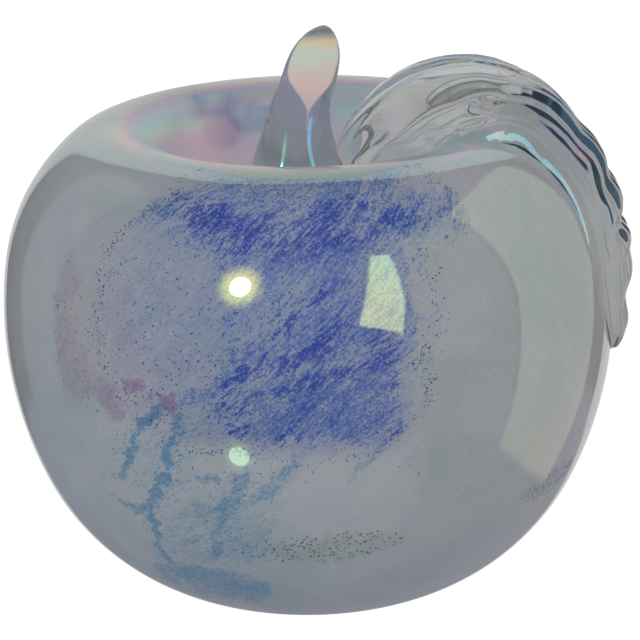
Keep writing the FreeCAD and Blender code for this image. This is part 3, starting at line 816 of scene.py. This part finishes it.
def paintedSheenOnCut(tree, place, glass):
    # the shear's cut on the front of the stem is not polished; its pearly bands from cream to rose are a
    # painted sheen, lit from both sides, with a painted glow added so that it shows bright
    (topUp, topIn), (footUp, footIn) = stem["flatTop"], stem["flatFoot"]
    across, along, up = split(tree, place)
    slope = (footIn - topIn) / (topUp - footUp)
    plane = plus(tree, along, times(tree, minus(tree, topUp * mm, up), slope))
    off = maths(tree, "ABSOLUTE", plus(tree, plane, topIn * mm))
    onCut = times(tree, ease(tree, off, *stem["pearlDeep"]), ease(tree, up, *stem["pearlLow"]))
    onCut = times(tree, onCut, ease(tree, up, *stem["pearlHigh"], 0.0, stem["paintedSheenShare"]))
    middleAt, leans = stem["dropMiddle"]
    middle = maths(tree, "MULTIPLY_ADD", minus(tree, up, stem["dropUp"][0]), leans, middleAt)
    half = ease(tree, up, *stem["dropUp"], 0.0, stem["dropHalf"])
    beyond = minus(tree, maths(tree, "ABSOLUTE", minus(tree, across, middle)), half)
    onCut = times(tree, onCut, ease(tree, beyond, *stem["dropEdge"]))
    ripple = swing(tree, cloud(tree, place, *stem["rippleCloud"]), stem["ripple"])
    colour = spread(tree, plus(tree, ease(tree, up, *stem["bandsUp"]), ripple), stem["pearl"])
    # painted glow: the cut gives off light of its own, though it is no lamp
    shine = tree.nodes.new("ShaderNodeEmission")
    tree.links.new(colour, shine.inputs["Color"])
    shine.inputs["Strength"].default_value = stem["paintedGlow"]
    lit = tree.nodes.new("ShaderNodeAddShader")
    tree.links.new(bothSides(tree, colour), lit.inputs[0])
    tree.links.new(shine.outputs[0], lit.inputs[1])
    return mixShaders(tree, onCut, hazyGlass(tree, place, glass), lit.outputs[0])


def clearGlass(name, tint, filmIndex, filmShape, extra=None):
    material, tree = newMaterial(name)
    place = tree.nodes.new("ShaderNodeTexCoord").outputs["Object"]
    glass = tree.nodes.new("ShaderNodeBsdfPrincipled")
    glass.inputs["Base Color"].default_value = tint
    glass.inputs["IOR"].default_value = film["glassIndex"]
    glass.inputs["Transmission Weight"].default_value = 1.0
    glass.inputs["Thin Film IOR"].default_value = filmIndex
    thickness, haze = filmShape(tree, place)
    tree.links.new(thickness, glass.inputs["Thin Film Thickness"])
    sock(tree, glass.inputs["Roughness"], haze)
    solid = glass.outputs[0] if extra is None else extra(tree, place, glass.outputs[0])
    path = tree.nodes.new("ShaderNodeLightPath")
    through = maths(tree, "MAXIMUM", path.outputs["Is Shadow Ray"], path.outputs["Is Diffuse Ray"])
    bare = tree.nodes.new("ShaderNodeBsdfTransparent")
    finishMaterial(tree, mixShaders(tree, through, solid, bare.outputs[0]))
    return material


def fusedJoint():
    material, tree = newMaterial("fused glass with no surface")
    finishMaterial(tree, tree.nodes.new("ShaderNodeBsdfTransparent").outputs[0])
    return material


casingGlass = clearGlass("clear casing glass", film["casingTint"], film["bodyIndex"], filmOnBody)
trimGlass = clearGlass("clear hot-worked glass", film["trimTint"], film["trimIndex"], filmOnTrim, hazyGlass)
fused = fusedJoint()


def gridMesh(rows):
    # skin over rows of points, each row a ring
    count = len(rows[0])
    points = [tuple(point * mm) for row in rows for point in row]
    faces = []
    for index in range(len(rows) - 1):
        here, there = index * count, (index + 1) * count
        for k in range(count):
            after = (k + 1) % count
            faces.append((here + k, here + after, there + after, there + k))
    return points, faces


def centre(points):
    return sum(points, Vector((0, 0, 0))) / len(points)


def glassMesh(name, points, faces, glass):
    # mesh whose faces are clear glass, or fused where their mark is 1
    mesh = bpy.data.meshes.new(name)
    mesh.from_pydata(points, [], faces)
    mesh.materials.append(glass)
    mesh.materials.append(fused)
    return mesh


def trimPiece(mesh, marks, node):
    # a piece of hot-worked glass, with all its faces turned outwards
    work = bmesh.new()
    work.from_mesh(mesh)
    bmesh.ops.recalc_face_normals(work, faces=work.faces)
    work.to_mesh(mesh)
    work.free()
    return addPiece(mesh, marks, node)


def smoothTable(rows, count):
    # rows of numbers made finer by a smooth curve through them
    rows = np.array(rows, float)
    fine = []
    for place in np.linspace(0, len(rows) - 1, count):
        index = min(int(place), len(rows) - 2)
        share = place - index
        before, first, second, after = (
            rows[min(max(index + k, 0), len(rows) - 1)] for k in (-1, 0, 1, 2))
        bend = 2 * before - 5 * first + 4 * second - after
        twist = 3 * first - before - 3 * second + after
        fine.append(0.5 * (2 * first + (second - before) * share + bend * share ** 2 + twist * share ** 3))
    return np.array(fine)


# stem: rounds from the foot up as (height, across, half width), each a share of rise, lean and half (mm),
# with the shear's flat on the front: (height, how far in front of the middle)
stem = {
    "floor": 76.47, "rise": 37.2, "lean": 5.6, "half": 5.8,
    "rounds": [(-0.090, -0.20, 2.85), (0.043, -0.23, 2.38), (0.150, -0.27, 1.93), (0.258, -0.29, 1.586),
               (0.386, -0.31, 1.276), (0.508, -0.23, 1.069), (0.613, -0.09, 1.000), (0.723, 0.15, 0.948),
               (0.828, 0.34, 0.879), (0.898, 0.45, 0.735), (0.950, 0.55, 0.530), (0.982, 0.63, 0.320),
               (1.000, 0.69, 0.110)],
    "flatTop": (111.67, 1.4), "flatFoot": (94.17, 6.3),
    "flatOver": 1.0, "flatSoft": 0.8,     # how far over its top the flat ends, and how soft its edge is
    "round": 96, "along": 150, "gap": 0.03,
    "footShares": (0.8, 0.6, 0.4, 0.2, 0.05),         # rings across the underside of the foot
    # pearly drop on the cut, a painted sheen with a painted glow, in metres: depth off the flat, heights at
    # its foot and top, height of its point and of its widest place, half width there and soft edge
    "pearlDeep": (0.0009, 0.00035), "pearlLow": (0.0925, 0.0965), "pearlHigh": (0.1130, 0.1105),
    "dropUp": (0.0970, 0.1060), "dropHalf": 0.0050, "dropEdge": (0.0005, -0.0003),
    "dropMiddle": (0.0005, 0.145),        # where its middle is at the point, and how it leans
    # share of the painted sheen on the cut, and strength of its painted glow
    "paintedSheenShare": 0.90, "paintedGlow": 0.21,
    "bandsUp": (0.094, 0.112),            # heights of its first and last band, and how they waver
    "rippleCloud": (140.0, 2.0), "ripple": 0.30,
    # colours of the painted pearly sheen, in bands from low on the cut to high
    "pearl": [(0.06, (0.60, 0.52, 0.62, 1)), (0.28, (0.84, 0.66, 0.66, 1)), (0.52, (0.95, 0.74, 0.68, 1)),
              (0.74, (0.92, 0.82, 0.72, 1)), (0.91, (0.82, 0.94, 0.80, 1)), (0.99, (1.00, 0.86, 0.58, 1))],
}


def softMax(first, second, soft):
    # larger of two numbers, rounded where they are nearly alike
    high, low = max(first, second), min(first, second)
    gap = max(soft - (high - low), 0) / soft
    return high + gap * gap * soft / 4


def makeStem():
    rows = smoothTable(stem["rounds"], stem["along"])[::-1]
    count = stem["round"]
    (topUp, topIn), (footUp, footIn) = stem["flatTop"], stem["flatFoot"]
    fine = []
    for k in range(count):
        angle = math.tau * k / count
        column = []
        for rise, lean, wide in rows:
            up = stem["floor"] + stem["rise"] * rise
            reach = stem["half"] * wide
            across = stem["lean"] * lean + reach * math.cos(angle)
            along = reach * math.sin(angle)
            if up < topUp + stem["flatOver"]:
                flat = topIn + (footIn - topIn) * (topUp - up) / (topUp - footUp)
                along = softMax(along, -flat, stem["flatSoft"])
            point = Vector((across, along, up))
            if aboveBody(point)[0] < stem["gap"]:
                column.append(settle(point, stem["gap"]))
                break
            column.append(point)
        # the same number of points in every column, evenly apart
        lengths = [0.0]
        for first, second in zip(column, column[1:]):
            lengths.append(lengths[-1] + (second - first).length)
        wanted = np.linspace(0, lengths[-1], stem["along"])
        parts = [np.interp(wanted, lengths, [point[axis] for point in column]) for axis in range(3)]
        fine.append([Vector(point) for point in zip(*parts)])
    rings = [list(ring) for ring in zip(*fine)]
    footFrom = (len(rings) - 1) * count
    foot = rings[-1]
    middle = centre(foot)
    for share in stem["footShares"]:
        ring = []
        for point in foot:
            place = middle + (point - middle) * share
            off, way = aboveBody(place)
            ring.append(place + way * (stem["gap"] - off))
        rings.append(ring)
    points, faces = gridMesh(rings)
    marks = [1 if index >= footFrom else 0 for index in range(len(faces))]
    tip, base = len(points), len(points) + 1
    points += [tuple(centre(ring) * mm) for ring in (rings[0], rings[-1])]
    last = (len(rings) - 1) * count
    for k in range(count):
        after = (k + 1) % count
        faces += [(tip, after, k), (base, last + k, last + after)]
        marks += [0, 1]
    return trimPiece(glassMesh("glass_stem", points, faces, stemGlass), marks, "stem")


# the cut face carries a painted pearly sheen and a painted glow
stemGlass = clearGlass("clear hot-worked glass with a cut face", film["stemTint"], film["trimIndex"],
                       filmOnTrim, paintedSheenOnCut)
stemPiece = makeStem()
print("stem drawn")

# leaf: rounds from its root at the stem to its tip, as degrees on the body's outline
# and shares of arch, thick and half the width to the front and to the back (mm)
leaf = {
    "rounds": [(186, 1.00, 0.50, 0.18, 0.20), (173, 1.00, 0.66, 0.34, 0.28), (160, 0.85, 0.86, 0.60, 0.42),
               (147, 0.68, 1.00, 0.84, 0.58), (132, 0.54, 1.04, 0.99, 0.74), (117, 0.37, 1.03, 1.00, 0.88),
               (102, 0.18, 1.02, 0.93, 0.96), (86, 0.02, 1.02, 0.88, 1.00), (64, 0.00, 1.00, 0.88, 1.00),
               (47, 0.00, 0.96, 0.88, 1.00), (37, 0.00, 0.90, 0.92, 0.98), (28, 0.00, 0.82, 0.98, 0.94),
               (19, 0.00, 0.72, 1.04, 0.90), (10, 0.00, 0.66, 1.03, 0.86), (5, 0.00, 0.60, 1.00, 0.78),
               (0.5, 0.00, 0.54, 0.87, 0.68), (-3.5, 0.00, 0.44, 0.68, 0.50), (-6.5, 0.00, 0.28, 0.34, 0.26)],
    "width": 42.0, "thick": 7.2, "least": 0.6, "arch": 15.0,
    "archFrom": 0.25,        # share of the front half from which the arch comes down onto the body
    "sink": 1.5, "sinkEdge": 0.4,         # how deep the underside lies, and the share of that at the edges
    # the back half comes down later: lift mm, between these degrees, from this share across
    "lift": 1.45, "liftFrom": 40.0, "liftTo": 125.0, "liftShare": -0.45,
    # furrows: (places along it as (degrees, share across)), half width as a share, depth mm
    "furrows": [
        ([(186, -0.10), (165, -0.45), (148, -0.68), (136, -0.71), (124, -0.70), (115, -0.63), (106, -0.54),
          (98, -0.45), (89, -0.39), (81, -0.37), (70, -0.29), (58, -0.30), (50, -0.36), (43, -0.36),
          (36, -0.30), (27, -0.42), (12, -0.45), (-7, -0.35)], 0.115, 1.9),
        ([(186, -0.60), (141, -0.83), (121, -0.79), (103, -0.75), (90, -0.75), (67, -0.71), (51, -0.75),
          (38, -0.73), (33, -0.72), (26, -0.82), (19, -0.77), (12, -0.80), (7, -0.86), (-7, -0.86)],
         0.085, 2.2),
        ([(186, 0.40), (159, 0.30), (147, 0.10), (135, 0.07), (123, 0.12), (112, 0.27), (100, 0.37),
          (89, 0.36), (70, 0.22), (50, 0.20), (30, 0.12), (12, 0.10), (-7, 0.05)], 0.09, 1.3),
        ([(186, -0.30), (157, -0.34), (142, -0.31), (132, -0.25), (121, -0.10), (108, 0.06), (98, 0.20)],
         0.05, 0.7),
        ([(140, 0.55), (112, 0.60), (86, 0.66), (50, 0.60), (24, 0.56), (-7, 0.50)], 0.10, 1.4),
        ([(104, -0.58), (90, -0.50), (76, -0.46), (51, -0.48), (38, -0.46), (28, -0.54), (11, -0.57),
          (-7, -0.60)], 0.050, 1.00),
        ([(97, -0.67), (76, -0.60), (51, -0.63), (38, -0.61), (28, -0.70), (11, -0.69), (-7, -0.74)],
         0.035, 0.55),
        ([(120, -0.92), (104, -0.88), (74, -0.85), (55, -0.87), (36, -0.89), (20, -0.90), (-7, -0.92)],
         0.045, 1.10),
        ([(172, 0.05), (150, -0.02), (135, -0.07), (117, 0.16), (100, 0.50), (86, 0.51), (50, 0.42),
          (20, 0.38)], 0.030, 0.45),
        ([(128, -0.52), (112, -0.36), (98, -0.20), (84, -0.10), (60, -0.06), (40, -0.08), (12, -0.20)],
         0.050, 0.60),
    ],
    # furrows are shallower on the hanging part: share of their depth there, between these degrees
    "hangShare": 0.88, "hangFrom": 66, "hangTo": 106,
    # dents across the lower lobes: (degrees, half width degrees, depth mm)
    "dents": [(43, 4.0, 0.7), (29, 3.4, 0.9), (16.5, 2.8, 1.5), (8.0, 2.0, 0.5), (1.0, 2.6, 1.4)],
    "notches": [56, 40, 24, 5],           # degrees of the crimps in the back edge
    "notchRadius": 4.5, "notchDepth": 1.8,
    "along": 300, "across": 190, "under": 26, "gap": 0.03,
    "backEdge": (3.2, 1 / 3.2), "frontEdge": (2.4, 0.5),   # powers that round the edges
}


def furrowAt(places, degrees):
    # share across of a furrow at these degrees, or none past its ends
    marks = [mark for mark, _ in places][::-1]
    if not marks[0] <= degrees <= marks[-1]:
        return None
    return float(np.interp(degrees, marks, [share for _, share in places][::-1]))


def wallAt(degrees):
    # point of the body's outline at these degrees
    for outAt, upAt, radius, _, end in body["arcs"][1:]:
        if degrees <= end:
            break
    turn = math.radians(degrees)
    return Vector((outAt + radius * math.cos(turn), 0, upAt + radius * math.sin(turn)))


def hollowAt(rows, place):
    # depth of furrows or dents at a place: rows of (middle, half width, depth)
    return sum(depth * math.exp(-((place - middle) / wide) ** 2) for middle, wide, depth in rows)


def pinchAt(wall):
    # how far a crimp cuts into the back edge at this point of the outline
    pinch = 0.0
    radius = leaf["notchRadius"]
    for degrees in leaf["notches"]:
        gap = (wallAt(degrees) - wall).length
        if gap < radius:
            pinch = max(pinch, math.sqrt(radius ** 2 - gap * gap) - radius + leaf["notchDepth"])
    return pinch


def makeLeaf():
    half = leaf["width"] / 2
    rings = []
    for degrees, arch, thick, front, back in smoothTable(leaf["rounds"], leaf["along"]):
        turn = math.radians(degrees)
        outwards = Vector((math.cos(turn), 0, math.sin(turn)))
        wall = wallAt(degrees)
        bend = max(math.cos(turn), 0) / (2 * wall.x)      # the body falls away to either side
        backHalf = half * back - pinchAt(wall)
        frontHalf = half * front
        tall = leaf["thick"] * thick
        furrows = [(furrowAt(places, degrees), wide, depth) for places, wide, depth in leaf["furrows"]]
        furrows = [row for row in furrows if row[0] is not None]
        upright = smooth((degrees - leaf["hangFrom"]) / (leaf["hangTo"] - leaf["hangFrom"]))
        weaker = leaf["hangShare"] + (1 - leaf["hangShare"]) * upright
        dent = hollowAt(leaf["dents"], degrees)
        raised = outwards * (leaf["arch"] * max(arch, 0))
        late = min(max((degrees - leaf["liftFrom"]) / (leaf["liftTo"] - leaf["liftFrom"]), 0), 1)
        later = leaf["lift"] * math.sin(math.pi * late) ** 2

        def leafPoint(share, height):
            # point at a share across and a height over the body, with what is left of the arch there
            across = share * (backHalf if share > 0 else frontHalf)
            drop = 1 - smooth((-share - leaf["archFrom"]) / (1 - leaf["archFrom"]))
            height += later * max(share - leaf["liftShare"], 0) - bend * across * across
            return wall + raised * drop + Vector((0, across, 0)) + outwards * height

        ring = []
        for k in range(leaf["across"] + 1):
            share = -math.cos(math.pi * k / leaf["across"])
            power, root = leaf["backEdge" if share > 0 else "frontEdge"]
            edge = max(1 - abs(share) ** power, 0) ** root
            groove = hollowAt(furrows, share) * thick * weaker
            height = tall - groove - dent * (1 - share * share)
            height = max(height, leaf["least"]) * edge - leaf["sink"] * leaf["sinkEdge"] * (1 - edge)
            ring.append(settle(leafPoint(share, height), leaf["gap"] * 2))
        for k in range(1, leaf["under"]):
            sweep = math.pi * k / leaf["under"]
            depth = leaf["sink"] * (leaf["sinkEdge"] + (1 - leaf["sinkEdge"]) * math.sin(sweep))
            ring.append(settle(leafPoint(math.cos(sweep), -depth), leaf["gap"]))
        rings.append(ring)
    points, faces = gridMesh(rings)
    count = len(rings[0])
    for index, ring in ((0, rings[0]), (len(rings) - 1, rings[-1])):
        middle = len(points)
        points.append(tuple(centre(ring) * mm))
        for k in range(count):
            faces.append((middle, index * count + k, index * count + (k + 1) % count))
    mesh = glassMesh("glass_leaf", points, faces, trimGlass)
    # faces that lie on the body have no surface
    offs = [aboveBody(vertex.co / mm)[0] for vertex in mesh.vertices]
    marks = [1 if max(offs[k] for k in face.vertices) < leaf["gap"] * 1.5 else 0 for face in mesh.polygons]
    return trimPiece(mesh, marks, "leaf")


leafPiece = makeLeaf()
print("leaf drawn")

# clear casing: turned shell, its inside drawn with no surface because it is melted to the opal
casing = {
    "innerStep": 2.5,        # how many times as long the steps of the inside's outline are
    "topFrom": 0.040, "melted": 0.00012,   # m: height over which the stem and the leaf touch it, and how near
}


def makeCasing():
    steps = body["turns"]
    outer = outline(0.0, body["step"])
    inner = outline(body["skin"], body["step"] * casing["innerStep"], -90.0)
    angles = [math.tau * k / steps for k in range(steps)]
    points, faces, marks = [], [], []
    for rows, mark in ((outer, 0), (inner, 1)):
        start = len(points)
        turned = [[Vector((row[0] * math.cos(angle), row[0] * math.sin(angle), row[1])) for angle in angles]
                  for row in rows[:-1]]
        grid, skin = gridMesh(turned)
        points += grid
        skin = [tuple(start + k for k in face) for face in skin]
        foot, top = len(points), len(points) + 1
        points += [(0, 0, rows[0][1] * mm), (0, 0, rows[-1][1] * mm)]
        last = start + (len(turned) - 1) * steps
        for k in range(steps):
            after = (k + 1) % steps
            skin += [(foot, start + after, start + k), (top, last + k, last + after)]
        if mark:
            skin = [face[::-1] for face in skin]     # the inside faces the axis
        faces += skin
        marks += [mark] * len(skin)
    mesh = glassMesh("clear_casing_shell", points, faces, casingGlass)
    # no surface where the stem and the leaf are melted on
    trees = []
    for piece in (stemPiece, leafPiece):
        joined = [tuple(face.vertices) for face in piece.data.polygons if face.material_index == 1]
        trees.append(BVHTree.FromPolygons([vertex.co for vertex in piece.data.vertices], joined))
    near = {}
    for vertex in mesh.vertices:
        if vertex.co.z > casing["topFrom"]:
            touched = (tree.find_nearest(vertex.co, casing["melted"])[0] for tree in trees)
            near[vertex.index] = any(spot is not None for spot in touched)
    for face in mesh.polygons:
        if all(near.get(k, False) for k in face.vertices):
            marks[face.index] = 1
    addPiece(mesh, marks, "clear_casing")
    print("casing drawn, faces melted to stem and leaf:", sum(marks[:len(outer) * steps]))


makeCasing()
